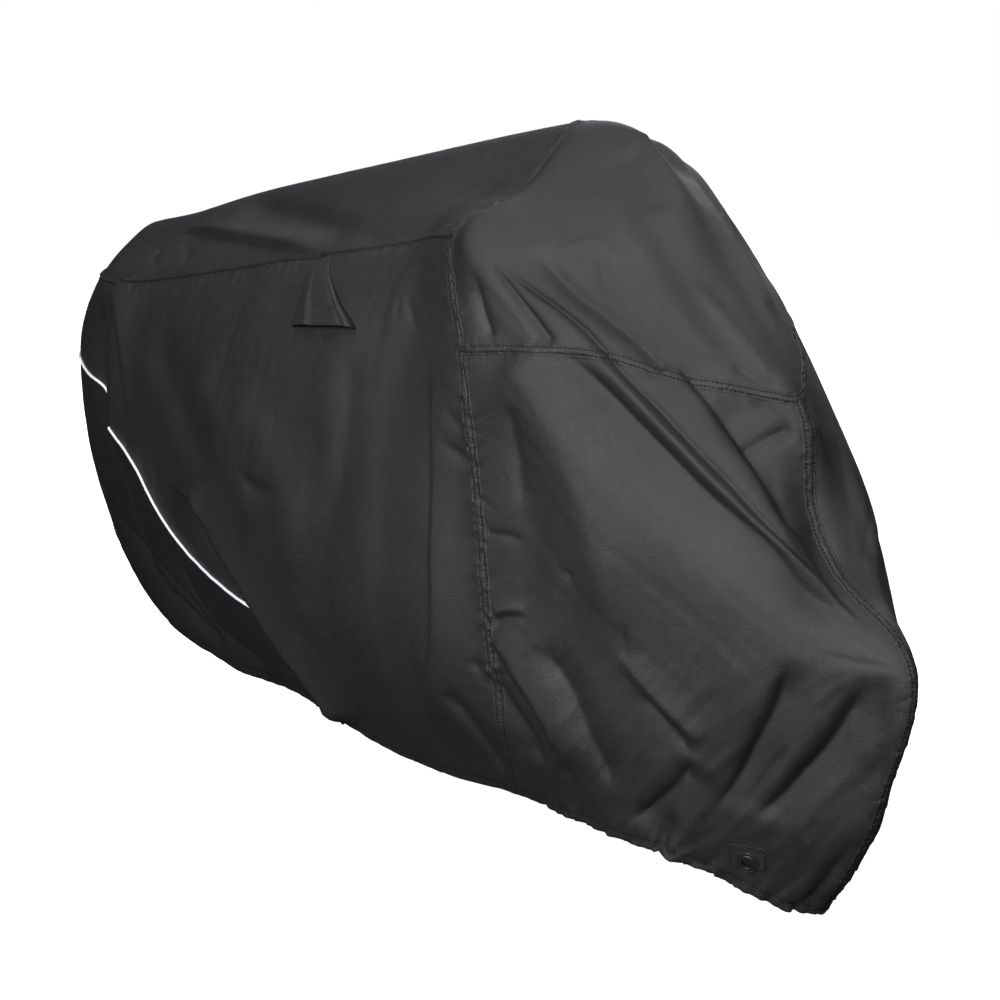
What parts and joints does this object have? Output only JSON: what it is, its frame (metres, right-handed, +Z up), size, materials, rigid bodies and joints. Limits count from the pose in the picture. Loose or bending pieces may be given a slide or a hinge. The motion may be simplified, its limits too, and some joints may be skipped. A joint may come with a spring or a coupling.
{
  "type": "motorcycle cover",
  "caption": "Fitted fabric motorcycle cover, hanging as over its form: hood, side and lower panels, vent hoods, piping and hem eyelets.",
  "frame": {"origin": "just under the highest point of the top, on the middle plane, where the covered form holds the cover up", "axes": "+X to the front of the cover, +Y to its left side, +Z up; the ground lies 1.262 m below the origin"},
  "size_m": [2.2844, 0.6778, 1.2213],
  "materials": {
    "cloth": "satin charcoal coated polyester, fine weave",
    "piping": "silver-white reflective piping",
    "eyelet": "black coated metal eyelet"
  },
  "bodies": {
    "root": {"front_hood": "cloth", "top_panel": "cloth", "lower_front_panel_right": "cloth", "lower_front_panel_left": "cloth", "side_panel_right": "cloth", "side_panel_left": "cloth", "lower_rear_panel_right": "cloth", "lower_rear_panel_left": "cloth", "piping_right": "piping", "piping_left": "piping", "vent_hood_right": "cloth", "vent_hood_left": "cloth", "eyelet_patch_right": "cloth", "eyelet_patch_left": "cloth", "eyelet_right": "eyelet", "eyelet_left": "eyelet"}
  },
  "joints": []
}
